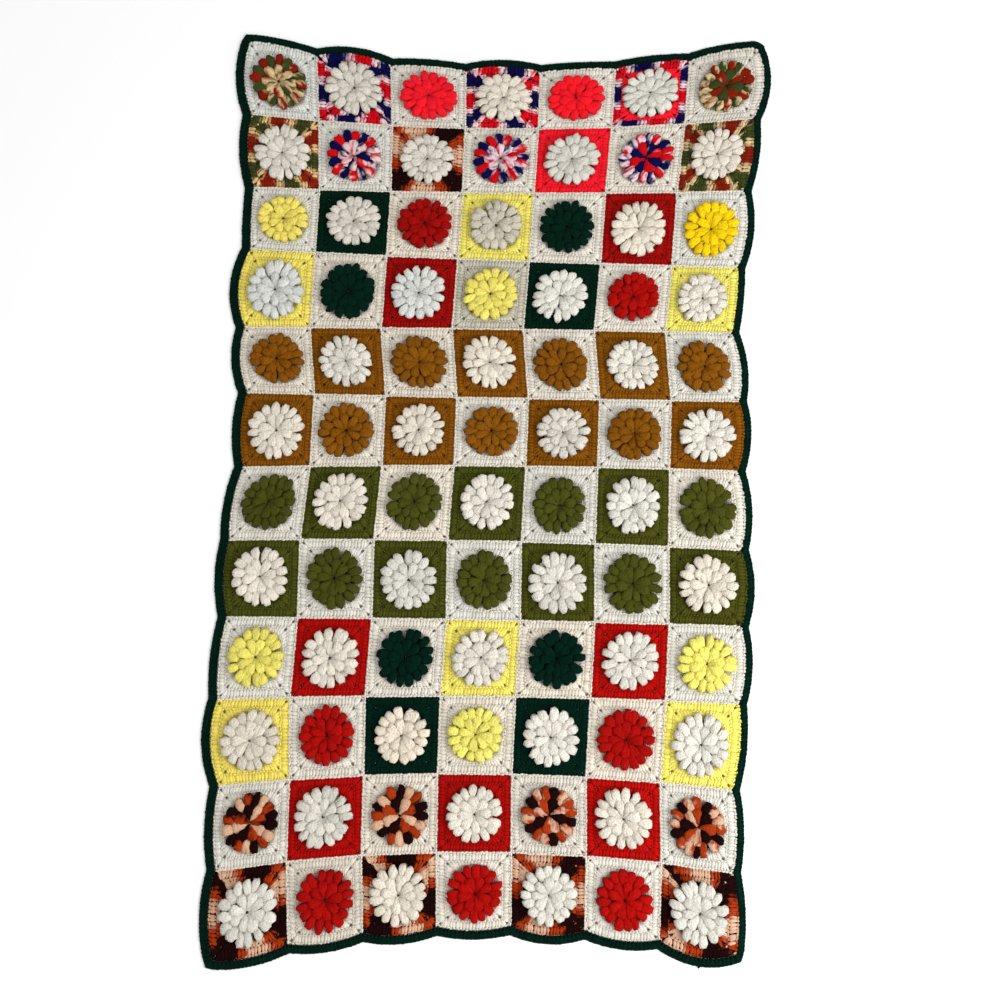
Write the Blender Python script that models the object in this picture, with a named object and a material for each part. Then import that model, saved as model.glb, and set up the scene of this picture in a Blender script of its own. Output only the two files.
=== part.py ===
"""Granny square blanket: 84 popcorn-flower squares in 12 strips of 7, and a crocheted edging round them all.

The blanket lies flat and face up. Its underside is at z = 0 and the origin is under the middle of its outline.
Lengths are in metres, apart from the tables, which are in millimetres.
"""

import math
from collections import namedtuple

import bmesh
import bpy
from mathutils import Vector

MM = 0.001

# Driving dimensions
COLUMNS = 7
ROWS = 12
SQUARE = 130 * MM  # one square from seam to seam, before the blanket's own unevenness
CLOTH = 4 * MM  # thickness of the double crochet round each flower
GAP = 0.3 * MM  # between neighbouring pieces
EDGING_WIDTH = 15 * MM
EDGING_CREST = 5.5 * MM  # the edging is a little thicker than the cloth beside it
EDGING_RIM = 3 * MM
MIDDLE = Vector((-0.77, -1.41))  # of the outline that the tables below give, in millimetres: it goes to the origin

# The popcorn flower on each square
OUTER_POPCORNS = 16
INNER_POPCORNS = 8
PETAL_RADIUS = 48 * MM  # to the tip of an outer popcorn
NOTCH_RADIUS = 44.5 * MM  # to the notch between two of them
OUTER_CREST_RADIUS = 40 * MM
VALLEY_RADIUS = 28.5 * MM
INNER_CREST_RADIUS = 17 * MM
CREST = 16 * MM  # height of both rounds of popcorns
VALLEY = 11.5 * MM
HEART = 7 * MM  # height of the dimple in the middle

# Each seam line that runs across the blanket, from the top edge to the bottom edge: where it starts and ends,
# how much narrower its two end squares are than the rest, and how far its middle bows up
Seam = namedtuple("Seam", "left right tuck y_left y_right bow")
SEAMS = (
    Seam(left=-445, right=484, tuck=10, y_left=823, y_right=810, bow=-52),
    Seam(left=-440, right=474, tuck=7, y_left=687, y_right=679, bow=-24),
    Seam(left=-434, right=455, tuck=7, y_left=550, y_right=543, bow=-7),
    Seam(left=-438, right=442, tuck=8, y_left=436, y_right=402, bow=-4),
    Seam(left=-446, right=429, tuck=7, y_left=292, y_right=281, bow=2),
    Seam(left=-440, right=441, tuck=5, y_left=173, y_right=157, bow=-2),
    Seam(left=-445, right=436, tuck=6, y_left=38, y_right=31, bow=6),
    Seam(left=-468, right=440, tuck=3, y_left=-92, y_right=-110, bow=7),
    Seam(left=-470, right=438, tuck=4, y_left=-229, y_right=-245, bow=3),
    Seam(left=-484, right=433, tuck=3, y_left=-373, y_right=-381, bow=9),
    Seam(left=-479, right=418, tuck=4, y_left=-524, y_right=-531, bow=25),
    Seam(left=-482, right=418, tuck=5, y_left=-670, y_right=-673, bow=34),
    Seam(left=-485, right=421, tuck=-2, y_left=-823, y_right=-813, bow=55),
)

# How far the middle of each outer square's free side swells outwards: by row, and then by column
RowSwell = namedtuple("RowSwell", "left right")
ROW_SWELL = (
    RowSwell(left=12, right=15),
    RowSwell(left=9, right=7),
    RowSwell(left=2, right=11),
    RowSwell(left=17, right=3),
    RowSwell(left=11, right=9),
    RowSwell(left=8, right=10),
    RowSwell(left=7, right=10),
    RowSwell(left=8, right=11),
    RowSwell(left=6, right=9),
    RowSwell(left=14, right=7),
    RowSwell(left=7, right=7),
    RowSwell(left=10, right=6),
)
ColumnSwell = namedtuple("ColumnSwell", "top bottom")
COLUMN_SWELL = (
    ColumnSwell(top=4, bottom=9),
    ColumnSwell(top=12, bottom=9),
    ColumnSwell(top=4, bottom=10),
    ColumnSwell(top=9, bottom=8),
    ColumnSwell(top=2, bottom=13),
    ColumnSwell(top=4, bottom=10),
    ColumnSwell(top=5, bottom=17),
)

# Yarn colours, as sRGB, and the letter that each has in the chart. A yarn dyed in several colours is given
# the one that shows most.
Yarn = namedtuple("Yarn", "name colour")
YARNS = {
    "W": Yarn("white", "E6E3DA"),
    "R": Yarn("red", "B5150F"),
    "D": Yarn("dark_red", "8F0C10"),
    "C": Yarn("coral", "F2454A"),
    "Y": Yarn("light_yellow", "EEDD62"),
    "G": Yarn("golden_yellow", "EFC70E"),
    "F": Yarn("forest_green", "05352A"),
    "B": Yarn("brown", "80500F"),
    "O": Yarn("olive", "4E5A1C"),
    "H": Yarn("holly_variegated", "7A5A2C"),
    "N": Yarn("navy_variegated", "5A3560"),
    "S": Yarn("sunset_variegated", "9C4A2A"),
}
EDGING_YARN = Yarn("dark_green", "06302A")
YARN_ROUGHNESS = 0.85

# Frame yarn and flower yarn of each square, a row of squares to a line
CHART = (
    "WH NW WC NW WC NW WH",
    "HW WN SW WN CW WN HW",
    "WY FW WD YW WF DW WG",
    "YW WF DW WY FW WR YW",
    "WB BW WB BW WB BW WB",
    "BW WB BW WB BW WB BW",
    "WO OW WO OW WO OW WO",
    "OW WO OW WO OW WO OW",
    "WY RW WF YW WF RW WY",
    "YW WR FW WY FW WR YW",
    "WS RW WS RW WS RW WS",
    "SW WR SW WR SW WR SW",
)

PLAIN_SIDE_STEPS = 2  # edges along a side that meets another square
FREE_SIDE_STEPS = 4  # edges along a side on the blanket's outline, which curves
MERGE = 0.01 * MM


def hump(t):
    """0 at both ends and 1 in the middle."""
    return 4 * t * (1 - t)


def seam_point(column, row):
    """The corner where a seam across, counted from the top, meets a seam down, counted from the left."""
    seam = SEAMS[row]
    along = column / COLUMNS
    x = seam.left + (seam.right - seam.left) * along
    if 0 < column < COLUMNS:
        x += seam.tuck * (2 * (column - 1) / (COLUMNS - 2) - 1)
    y = seam.y_left + (seam.y_right - seam.y_left) * along + seam.bow * hump(along)
    return (Vector((x, y)) - MIDDLE) * MM


def in_square(column, row, u, v):
    """A point of one square: u runs from its left side to its right, v from its lower side to its upper."""
    upper = seam_point(column, row).lerp(seam_point(column + 1, row), u)
    lower = seam_point(column, row + 1).lerp(seam_point(column + 1, row + 1), u)
    point = lower.lerp(upper, v)
    if column == 0:
        point.x -= ROW_SWELL[row].left * MM * hump(v) * (1 - u)
    if column == COLUMNS - 1:
        point.x += ROW_SWELL[row].right * MM * hump(v) * u
    if row == 0:
        point.y += COLUMN_SWELL[column].top * MM * hump(u) * v
    if row == ROWS - 1:
        point.y -= COLUMN_SWELL[column].bottom * MM * hump(u) * (1 - v)
    return point


def side_steps(column, row, side):
    """How many edges one side of a square needs."""
    free = {
        "bottom": row == ROWS - 1,
        "right": column == COLUMNS - 1,
        "top": row == 0,
        "left": column == 0,
    }
    return FREE_SIDE_STEPS if free[side] else PLAIN_SIDE_STEPS


def side_point(side, t):
    """(u, v) on a side of a square, going round it anticlockwise."""
    return {
        "bottom": (t, 0),
        "right": (1, t),
        "top": (1 - t, 1),
        "left": (0, 1 - t),
    }[side]


def outline_of_blanket():
    """The line round all the squares, anticlockwise from the lower left corner."""
    route = [(column, ROWS - 1, "bottom") for column in range(COLUMNS)]
    route += [(COLUMNS - 1, row, "right") for row in reversed(range(ROWS))]
    route += [(column, 0, "top") for column in reversed(range(COLUMNS))]
    route += [(0, row, "left") for row in range(ROWS)]
    return [
        in_square(column, row, *side_point(side, step / FREE_SIDE_STEPS))
        for column, row, side in route
        for step in range(FREE_SIDE_STEPS)
    ]


def offset_outwards(line, distance):
    """A closed anticlockwise line moved outwards, square to its own run."""
    moved = []
    for index, point in enumerate(line):
        ahead = line[(index + 1) % len(line)]
        run = (ahead - line[index - 1]).normalized()
        moved.append(point + Vector((run.y, -run.x)) * distance)
    return moved


def add_loop(mesh, points):
    """A closed loop of edges through the points."""
    corners = [mesh.verts.new(point) for point in points]
    return [mesh.edges.new((corner, corners[index - 1])) for index, corner in enumerate(corners)]


def flower_ring(mesh, column, row, count, radius, height, turn, notch_radius=None):
    """A loop of edges round a flower. With a notch radius, every second point lies on that one."""
    corners = bmesh.ops.create_circle(mesh, segments=count, radius=radius)["verts"]
    for index, corner in enumerate(corners):
        reach = notch_radius if notch_radius and index % 2 else radius
        angle = turn + math.tau * index / count
        u = 0.5 + reach * math.cos(angle) / SQUARE
        v = 0.5 + reach * math.sin(angle) / SQUARE
        corner.co = in_square(column, row, u, v).to_3d() + Vector((0, 0, height))
    return list({edge for corner in corners for edge in corner.link_edges})


def flower_turn(column, row):
    """Each flower is turned by its own part of a petal, because no two were joined alike."""
    part = (0.618 * (column + COLUMNS * row)) % 1
    return part * math.tau / OUTER_POPCORNS


def add_square(mesh, column, row, frame_slot, flower_slot):
    """The top face of one square: a flat frame, then the flower's rounds raised ring by ring."""
    seam_gap = GAP / 2 / SQUARE
    outline = []
    for side in ("bottom", "right", "top", "left"):
        steps = side_steps(column, row, side)
        for step in range(steps):
            u, v = side_point(side, step / steps)
            v = seam_gap + v * (1 - 2 * seam_gap)
            outline.append(in_square(column, row, u, v).to_3d() + Vector((0, 0, CLOTH)))
    turn = flower_turn(column, row)
    petals = 2 * OUTER_POPCORNS
    rings = (
        add_loop(mesh, outline),
        flower_ring(mesh, column, row, petals, PETAL_RADIUS, CLOTH, turn, NOTCH_RADIUS),
        flower_ring(mesh, column, row, OUTER_POPCORNS, OUTER_CREST_RADIUS, CREST, turn),
        flower_ring(mesh, column, row, INNER_POPCORNS, VALLEY_RADIUS, VALLEY, turn),
        flower_ring(mesh, column, row, INNER_POPCORNS, INNER_CREST_RADIUS, CREST, turn),
    )
    slot = frame_slot
    for outer, inner in zip(rings, rings[1:]):
        for face in bmesh.ops.bridge_loops(mesh, edges=outer + inner)["faces"]:
            face.material_index = slot
        slot = flower_slot
    middle = bmesh.ops.contextual_create(mesh, geom=rings[-1])["faces"]
    dimple = bmesh.ops.poke(mesh, faces=middle)
    dimple["verts"][0].co.z = HEART
    for face in dimple["faces"]:
        face.material_index = flower_slot


def close_underneath(mesh, slot):
    """Walls from the open rim down to z = 0, and a flat face under them."""
    rim = [edge for edge in mesh.edges if edge.is_boundary]
    made = bmesh.ops.extrude_edge_only(mesh, edges=rim)["geom"]
    foot = [item for item in made if isinstance(item, bmesh.types.BMEdge)]
    for corner in {corner for edge in foot for corner in edge.verts}:
        corner.co.z = 0
    bottom = bmesh.ops.contextual_create(mesh, geom=foot)["faces"]
    walls = [item for item in made if isinstance(item, bmesh.types.BMFace)]
    for face in bottom + walls:
        face.material_index = slot


def yarn_material(yarn):
    """A matt yarn, made once and shared by every piece worked in it."""
    name = "yarn_" + yarn.name
    if name in bpy.data.materials:
        return bpy.data.materials[name]
    material = bpy.data.materials.new(name)
    material.use_nodes = True
    colour = [int(yarn.colour[start : start + 2], 16) / 255 for start in (0, 2, 4)]
    linear = [part / 12.92 if part < 0.04045 else ((part + 0.055) / 1.055) ** 2.4 for part in colour]
    shader = material.node_tree.nodes["Principled BSDF"]
    shader.inputs["Base Color"].default_value = (*linear, 1)
    shader.inputs["Roughness"].default_value = YARN_ROUGHNESS
    shader.inputs["Metallic"].default_value = 0
    material.diffuse_color = (*linear, 1)
    return material


def new_piece(name, mesh, yarns, collection):
    """Finishes a mesh with its faces out and puts it in the blanket as one object."""
    bmesh.ops.recalc_face_normals(mesh, faces=mesh.faces[:])
    data = bpy.data.meshes.new(name)
    mesh.to_mesh(data)
    mesh.free()
    for yarn in yarns:
        data.materials.append(yarn_material(yarn))
    piece = bpy.data.objects.new(name, data)
    collection.objects.link(piece)
    return piece


def make_strip(row, collection):
    """Seven squares in a row, joined side to side."""
    chart = CHART[row].split()
    letters = sorted(set("".join(chart)))
    mesh = bmesh.new()
    for column, (frame, flower) in enumerate(chart):
        add_square(mesh, column, row, letters.index(frame), letters.index(flower))
    bmesh.ops.remove_doubles(mesh, verts=mesh.verts[:], dist=MERGE)
    close_underneath(mesh, letters.index("W"))
    new_piece(f"strip_{row + 1:02d}", mesh, [YARNS[letter] for letter in letters], collection)


def make_edging(collection):
    """A closed band outside the squares, with a low ridge along its middle."""
    inner_line = outline_of_blanket()
    profile = (
        (GAP, 0),
        (GAP, CLOTH),
        (EDGING_WIDTH / 2, EDGING_CREST),
        (EDGING_WIDTH, EDGING_RIM),
        (EDGING_WIDTH, 0),
    )
    mesh = bmesh.new()
    loops = []
    for distance, height in profile:
        line = offset_outwards(inner_line, distance)
        loops.append(add_loop(mesh, [point.to_3d() + Vector((0, 0, height)) for point in line]))
    for index, loop in enumerate(loops):
        bmesh.ops.bridge_loops(mesh, edges=loops[index - 1] + loop)
    new_piece("edging", mesh, [EDGING_YARN], collection)


def main():
    for existing in list(bpy.data.objects):
        bpy.data.objects.remove(existing)
    blanket = bpy.data.collections.new("granny_square_blanket")
    bpy.context.scene.collection.children.link(blanket)
    for row in range(ROWS):
        make_strip(row, blanket)
    make_edging(blanket)


main()
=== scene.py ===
# %% [markdown]
# # A granny square blanket, stitch by stitch
#
# The real blanket is crocheted from worsted acrylic yarn. It has 84 squares, each with a round flower of 24
# popcorns (five tall stitches gathered into one bobble) and a frame of double crochet. White slip stitches join
# the squares, and a dark green band goes round them all.
#
# A crocheted thing has no cut pieces: its shape is its stitches. So this lesson models one stitch of each kind,
# and then lays copies of it where the hook would make them. The frame comes first: it holds the blanket's solids,
# which say how large it is and where every row lies.

# %% Load the frame
import math
from collections import namedtuple

import bmesh
import bpy
import numpy as np
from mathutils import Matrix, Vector


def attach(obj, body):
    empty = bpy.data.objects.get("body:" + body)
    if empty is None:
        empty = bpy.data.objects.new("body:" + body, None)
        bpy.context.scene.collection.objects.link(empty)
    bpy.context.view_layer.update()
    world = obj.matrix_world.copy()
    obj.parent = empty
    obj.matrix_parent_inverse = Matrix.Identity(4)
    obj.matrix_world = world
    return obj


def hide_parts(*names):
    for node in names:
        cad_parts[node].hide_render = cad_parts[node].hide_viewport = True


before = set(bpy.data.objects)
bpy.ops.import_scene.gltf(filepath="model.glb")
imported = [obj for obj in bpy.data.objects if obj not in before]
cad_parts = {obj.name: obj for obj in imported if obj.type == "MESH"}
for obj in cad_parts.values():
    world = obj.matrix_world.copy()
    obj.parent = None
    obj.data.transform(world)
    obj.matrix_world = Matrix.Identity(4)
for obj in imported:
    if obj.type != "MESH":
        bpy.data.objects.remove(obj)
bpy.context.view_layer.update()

print("Solids in the frame:", len(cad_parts))

# %% [markdown]
# ## How the squares lie
#
# A real blanket is never an even grid: each square pulls its neighbours a little, and the free sides swell out
# between the seams. Here a few measures for each seam across the blanket give every corner, and each square is
# stretched between its four corners. A stitch is placed in its square's own millimetres, so one function carries
# all of them to the blanket, and the pattern bends with the cloth as it does in crochet.

# %% The seams and the swell of the free sides
MM = 0.001
COLUMNS = 7
ROWS = 12
SQUARE = 130  # mm, from seam to seam
HALF = SQUARE / 2
SEAM_GAP = 0.3  # mm, between the grounds of two squares
MIDDLE = np.array((-0.77, -1.41))  # of the whole outline, in mm: it goes to the origin

# Each seam line across, from the top edge to the bottom edge, in mm: where it starts and ends across, how much
# narrower its two end squares are than the rest, its height at both ends, and how far its middle bows up
Seam = namedtuple("Seam", "left right tuck y_left y_right bow")
SEAM_TABLE = (
    (-445, 484, 10, 823, 810, -52),
    (-440, 474, 7, 687, 679, -24),
    (-434, 455, 7, 550, 543, -7),
    (-438, 442, 8, 436, 402, -4),
    (-446, 429, 7, 292, 281, 2),
    (-440, 441, 5, 173, 157, -2),
    (-445, 436, 6, 38, 31, 6),
    (-468, 440, 3, -92, -110, 7),
    (-470, 438, 4, -229, -245, 3),
    (-484, 433, 3, -373, -381, 9),
    (-479, 418, 4, -524, -531, 25),
    (-482, 418, 5, -670, -673, 34),
    (-485, 421, -2, -823, -813, 55),
)
SEAMS = [Seam(*measures) for measures in SEAM_TABLE]

# How far, in mm, the free sides of the outer squares swell out: row by row, then column by column
LEFT_SWELL = (12, 9, 2, 17, 11, 8, 7, 8, 6, 14, 7, 10)
RIGHT_SWELL = (15, 7, 11, 3, 9, 10, 10, 11, 9, 7, 7, 6)
TOP_SWELL = (4, 12, 4, 9, 2, 4, 5)
BOTTOM_SWELL = (9, 9, 10, 8, 13, 10, 17)


def hump(t):
    """0 at both ends and 1 in the middle."""
    return 4 * t * (1 - t)


def seam_corner(column, row):
    """The corner where a seam across, counted from the top, meets a seam down, counted from the left."""
    seam = SEAMS[row]
    along = column / COLUMNS
    x = seam.left + (seam.right - seam.left) * along
    if 0 < column < COLUMNS:
        x += seam.tuck * (2 * (column - 1) / (COLUMNS - 2) - 1)
    y = seam.y_left + (seam.y_right - seam.y_left) * along + seam.bow * hump(along)
    return np.array((x, y)) - MIDDLE


def lay(column, row, spots):
    """Spots of one square, in mm from its middle, as places on the blanket, in metres."""
    u = 0.5 + spots[:, 0:1] / SQUARE
    v = 0.5 + spots[:, 1:2] / SQUARE
    upper = seam_corner(column, row) * (1 - u) + seam_corner(column + 1, row) * u
    lower = seam_corner(column, row + 1) * (1 - u) + seam_corner(column + 1, row + 1) * u
    place = lower * (1 - v) + upper * v
    if column == 0:
        place[:, 0:1] -= LEFT_SWELL[row] * hump(v) * (1 - u)
    if column == COLUMNS - 1:
        place[:, 0:1] += RIGHT_SWELL[row] * hump(v) * u
    if row == 0:
        place[:, 1:2] += TOP_SWELL[column] * hump(u) * v
    if row == ROWS - 1:
        place[:, 1:2] -= BOTTOM_SWELL[column] * hump(u) * (1 - v)
    return np.hstack((place, spots[:, 2:3])) * MM


print("The first square's middle is at", lay(0, 0, np.zeros((1, 3)))[0].round(3))

# %% [markdown]
# ## The yarns and the chart
#
# A crochet chart names a yarn for each part of each square. Most yarns are one colour. Three are dyed in lengths
# of different colours, and the pattern on the blanket comes from where those lengths fall as the yarn is used up.
# So a dyed yarn is written as its run of colours, and each stitch asks for the colour at its own place along it.

# %% Yarns
Run = namedtuple("Run", "colour length")  # an sRGB hex colour, and the mm of yarn that have it
YARNS = {
    "W": (Run("DFD9CC", 1),),  # white
    "K": (Run("CBC3B0", 1),),  # a greyer lot of the white
    "R": (Run("AA0C07", 1),),  # red
    "D": (Run("9A0B07", 1),),  # dark red
    "C": (Run("FF1D2B", 1),),  # coral
    "Y": (Run("F0E26D", 1),),  # light yellow
    "G": (Run("F5CF13", 1),),  # golden yellow
    "F": (Run("002015", 1),),  # forest green
    "B": (Run("824E0A", 1),),  # brown
    "O": (Run("474914", 1),),  # olive
    # Navy, white and red; green, cream and rust red; black-brown, orange and peach. The light or middle colour
    # comes twice, because the dye is laid across the wound skein and the yarn passes it on its way there and back
    "N": (Run("0B0B45", 270), Run("EED0D6", 88), Run("D20A15", 259), Run("EED0D6", 88)),
    "H": (Run("3C431C", 250), Run("DBBD8B", 100), Run("851C09", 255), Run("DBBD8B", 100)),
    "S": (Run("1B0504", 405), Run("A4350E", 200), Run("D7AC8D", 295), Run("A4350E", 110)),
}
DYE_SPREAD = 30  # mm over which one colour runs into the next
EDGING_COLOUR = "011F15"  # dark green

# Frame yarn and flower yarn of each square, a row of squares to a line
CHART = (
    "WH NW WC NW WC NW WH",
    "HW WN SW WN CW WN HW",
    "WY FW WD YK WF DW WG",
    "YW WF DW KY FW WR YW",
    "WB BW WB BW WB BW WB",
    "BW WB BW WB BW WB BW",
    "WO OW WO OW WO OW WO",
    "OW WO OW WO OW WO OW",
    "WY RW WF YW WF RW WY",
    "YW WR FW WY FW WR YW",
    "WS RW WS RW WS RW WS",
    "SW WR SW WR SW WR SW",
)
FIRST_FRAME_ROUND = {(5, 0): "C"}  # column and row of a square whose first round has another yarn


def linear(hex_colour):
    """An sRGB hex colour as linear light."""
    parts = np.array([int(hex_colour[start : start + 2], 16) for start in (0, 2, 4)]) / 255
    return np.where(parts < 0.04045, parts / 12.92, ((parts + 0.055) / 1.055) ** 2.4)


def darkest(letter):
    """The darkest colour of a yarn."""
    return min((linear(run.colour) for run in YARNS[letter]), key=sum)


def dyed(letter, used):
    """The colour of a yarn where so many mm of it have been used: one place, or an array of them."""
    runs = YARNS[letter]
    stops, colours, start = [], [], 0
    for run in runs:
        spread = min(DYE_SPREAD, run.length) / 2
        stops += [start + spread, start + run.length - spread]
        colours += [linear(run.colour)] * 2
        start += run.length
    used = np.asarray(used) % start
    channels = [np.interp(used, stops, channel, period=start) for channel in np.transpose(colours)]
    return np.stack(channels, axis=-1)


chart = [row.split() for row in CHART]
print("Squares in the chart:", sum(len(row) for row in chart), "and yarns:", len(YARNS))

# %% [markdown]
# ## The finish: worsted acrylic
#
# Worsted acrylic is spun from fine fibres and plied from a few strands, so it is matt, with a soft sheen where
# the fibres stand up, and each stitch shows strands that wind round it, with painted shade in the grooves between
# them. A photograph of knitting would do for one view only, so the winding is worked out on each stitch from two
# numbers that its map holds: how far along the stitch a point is, and how far round it. The colour comes with the
# stitch, as the yarn's dye does, and so does the painted shade in the furrows of the popcorns and in the ground.


# %% A node at a time
def feed(tree, node, inputs):
    """Fills the inputs of a node, each with a value or with the output that feeds it."""
    for socket, value in inputs.items():
        if isinstance(value, bpy.types.NodeSocket):
            tree.links.new(value, node.inputs[socket])
        else:
            node.inputs[socket].default_value = value


def add_node(tree, kind, inputs=None, **settings):
    """Adds one shader node with its own settings and its inputs, and gives back its outputs."""
    node = tree.nodes.new("ShaderNode" + kind)
    for name, value in settings.items():
        setattr(node, name, value)
    feed(tree, node, inputs or {})
    return node.outputs


# %% Worsted acrylic, as stitches
FIBRE = 1.3  # mm, the size of the fuzz: real fibres are 0.02 mm, too fine to show, so it is drawn in tufts
FUZZ_HEIGHT = 0.8  # of the strands' height
CRUMPLE = 4.6  # mm, the size of the loops that five gathered stitches crumple into


def worsted_acrylic(name, strands, turn_length, groove, shade, crumple=0.0):
    """Matt plied yarn: strands lie round a stitch and wind once round it in turn_length mm, with grooves
    between them that are groove mm deep and carry painted shade, down to shade times the colour.
    It looks soft and never glossy.
    Crumple, from 0 to 1, is how much of the strands' relief gives way to that of the crumpled loops."""
    material = bpy.data.materials.new(name)
    material.use_nodes = True
    tree = material.node_tree
    dye_and_painted_shade = add_node(tree, "Attribute", attribute_name="yarn")["Color"]
    stitch_map = add_node(tree, "UVMap", uv_map="strands")["UV"]
    along_and_round = add_node(tree, "SeparateXYZ", {"Vector": stitch_map})
    turns = {0: along_and_round["X"], 1: 1 / turn_length, 2: along_and_round["Y"]}
    wound = add_node(tree, "Math", turns, operation="MULTIPLY_ADD")[0]
    angle = add_node(tree, "Math", {0: wound, 1: strands * math.pi}, operation="MULTIPLY")[0]
    wave = add_node(tree, "Math", {0: angle}, operation="SINE")[0]
    strand = add_node(tree, "Math", {0: wave}, operation="ABSOLUTE")[0]
    place = add_node(tree, "TexCoord")["Object"]
    fuzz_inputs = {"Vector": place, "Scale": 1 / (FIBRE * MM), "Detail": 2, "Roughness": 0.6}
    fuzz = add_node(tree, "TexNoise", fuzz_inputs)["Fac"]
    from_middle = add_node(tree, "TexVoronoi", {"Vector": place, "Scale": 1 / (CRUMPLE * MM)})["Distance"]
    loop_height_inputs = {"Value": from_middle, "From Min": 0.1, "From Max": 0.75, "To Min": 1, "To Max": 0}
    loop_height = add_node(tree, "MapRange", loop_height_inputs)["Result"]
    mixed = add_node(tree, "Mix", {0: crumple, 2: strand, 3: loop_height}, data_type="FLOAT")[0]
    height = add_node(tree, "Math", {0: fuzz, 1: FUZZ_HEIGHT, 2: mixed}, operation="MULTIPLY_ADD")[0]
    relief = add_node(tree, "Bump", {"Height": height, "Strength": 0.9, "Distance": groove * MM})["Normal"]
    # Painted shade: the colour is darkened in the low places of the relief, down to shade times itself
    groove_painted_shade_inputs = {"Value": height, "From Min": 0.2, "From Max": 1.1, "To Min": shade, "To Max": 1.0}
    groove_painted_shade = add_node(tree, "MapRange", groove_painted_shade_inputs)["Result"]
    colour_with_painted_shade = add_node(tree, "VectorMath", {0: dye_and_painted_shade, "Scale": groove_painted_shade}, operation="SCALE")["Vector"]
    gloss = {"Roughness": 0.9, "IOR": 1.49, "Specular IOR Level": 0.04}  # fibres shade each other's gloss
    sheen = {"Sheen Weight": 0.01, "Sheen Roughness": 0.5}
    feed(tree, tree.nodes["Principled BSDF"], {"Base Color": colour_with_painted_shade, "Normal": relief, **gloss, **sheen})
    return material


STITCH_YARN = worsted_acrylic("worsted_acrylic_stitches", 3, turn_length=12, groove=0.4, shade=0.72)
POPCORN_YARN = worsted_acrylic(
    "worsted_acrylic_popcorns", 10, turn_length=90, groove=1.7, shade=0.84, crumple=0.75
)
GROUND_YARN = worsted_acrylic("worsted_acrylic_ground", 1, turn_length=3, groove=0.6, shade=0.6)
print("Materials:", [material.name for material in bpy.data.materials])

# %% [markdown]
# ## One popcorn
#
# A popcorn is five double crochets worked into one place and gathered at their tops, so it stands up as a plump
# bobble, narrow at its foot and rounded at its tip, with shallow furrows between the gathered stitches. It could
# be a sphere pulled long, but then the foot and the tip would be alike. Instead a circle is drawn out through a
# short table of sections, each with its own width and height, and every second line of points is lifted a little
# for the furrows.

# %% Drawing a shape out through its sections
Section = namedtuple("Section", "out wide low high")  # mm: along the shape, half its width, bottom and top


def section_table(*rows):
    """Sections from a table of their measures."""
    return [Section(*row) for row in rows]


def section_centre(section):
    """The middle of a section, in metres."""
    return Vector((section.out, 0, (section.low + section.high) / 2)) * MM


def add_alone(primitive, **settings):
    """Adds a primitive with nothing else selected."""
    bpy.ops.object.select_all(action="DESELECT")
    primitive(**settings)
    return bpy.context.active_object


def draw_out(name, sides, sections, turned=0.0):
    """A closed shape along X: a filled circle, turned, then extruded and resized from section to section."""
    first = sections[0]
    shape = add_alone(
        bpy.ops.mesh.primitive_circle_add,
        vertices=sides,
        radius=MM,
        fill_type="NGON",
        location=section_centre(first),
        rotation=(0, math.pi / 2, 0),
    )
    shape.name = name
    bpy.ops.object.transform_apply(location=True, rotation=True, scale=True)
    bpy.ops.object.mode_set(mode="EDIT")
    bpy.ops.mesh.select_all(action="SELECT")
    bpy.ops.transform.rotate(value=turned, orient_axis="X", center_override=section_centre(first))
    across = (1, first.wide, (first.high - first.low) / 2)
    bpy.ops.transform.resize(value=across, center_override=section_centre(first))
    for before, now in zip(sections, sections[1:]):
        step = section_centre(now) - section_centre(before)
        bpy.ops.mesh.extrude_region_move(TRANSFORM_OT_translate={"value": step})
        change = (1, now.wide / before.wide, (now.high - now.low) / (before.high - before.low))
        bpy.ops.transform.resize(value=change, center_override=section_centre(now))
    bpy.ops.mesh.select_all(action="SELECT")
    bpy.ops.mesh.normals_make_consistent(inside=False)
    bpy.ops.object.mode_set(mode="OBJECT")
    return shape


def select_only(shape, kind, wanted):
    """Goes to edit mode and selects only the wanted corners ("verts") or faces ("faces")."""
    bpy.ops.object.mode_set(mode="EDIT")
    bpy.ops.mesh.select_all(action="DESELECT")
    mesh = bmesh.from_edit_mesh(shape.data)
    for item in getattr(mesh, kind):
        if wanted(item):
            item.select_set(True)
    bmesh.update_edit_mesh(shape.data)


def pull_to_a_point(shape, end, out):
    """Pokes the flat face at one end (-1 or 1 along X) and pulls its middle out along X by so many mm."""
    select_only(shape, "faces", lambda face: face.normal.x * end > 0.99 and len(face.verts) > 3)
    bpy.ops.mesh.poke()
    bpy.ops.mesh.select_all(action="DESELECT")
    mesh = bmesh.from_edit_mesh(shape.data)
    mesh.verts.ensure_lookup_table()
    mesh.verts[-1].select_set(True)
    bmesh.update_edit_mesh(shape.data)
    bpy.ops.transform.translate(value=(end * out * MM, 0, 0))
    bpy.ops.object.mode_set(mode="OBJECT")


def lift_furrows(shape, sides, sections, rise):
    """Lifts every second line of points that runs along the shape, so furrows are left between them."""
    section_at = {round(section.out, 3): section for section in sections}

    def on_second_line(corner):
        section = section_at.get(round(corner.co.x / MM, 3))
        if section is None:
            return False
        height = (corner.co.z / MM - (section.low + section.high) / 2) / (section.high - section.low) * 2
        angle = math.atan2(height, corner.co.y / MM / section.wide)
        return round(angle / math.tau * sides) % 2 == 1

    select_only(shape, "verts", on_second_line)
    bpy.ops.transform.shrink_fatten(value=rise * MM)
    bpy.ops.object.mode_set(mode="OBJECT")


# %% From a finished shape to arrays
Shape = namedtuple("Shape", "points corners starts map length")


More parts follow.
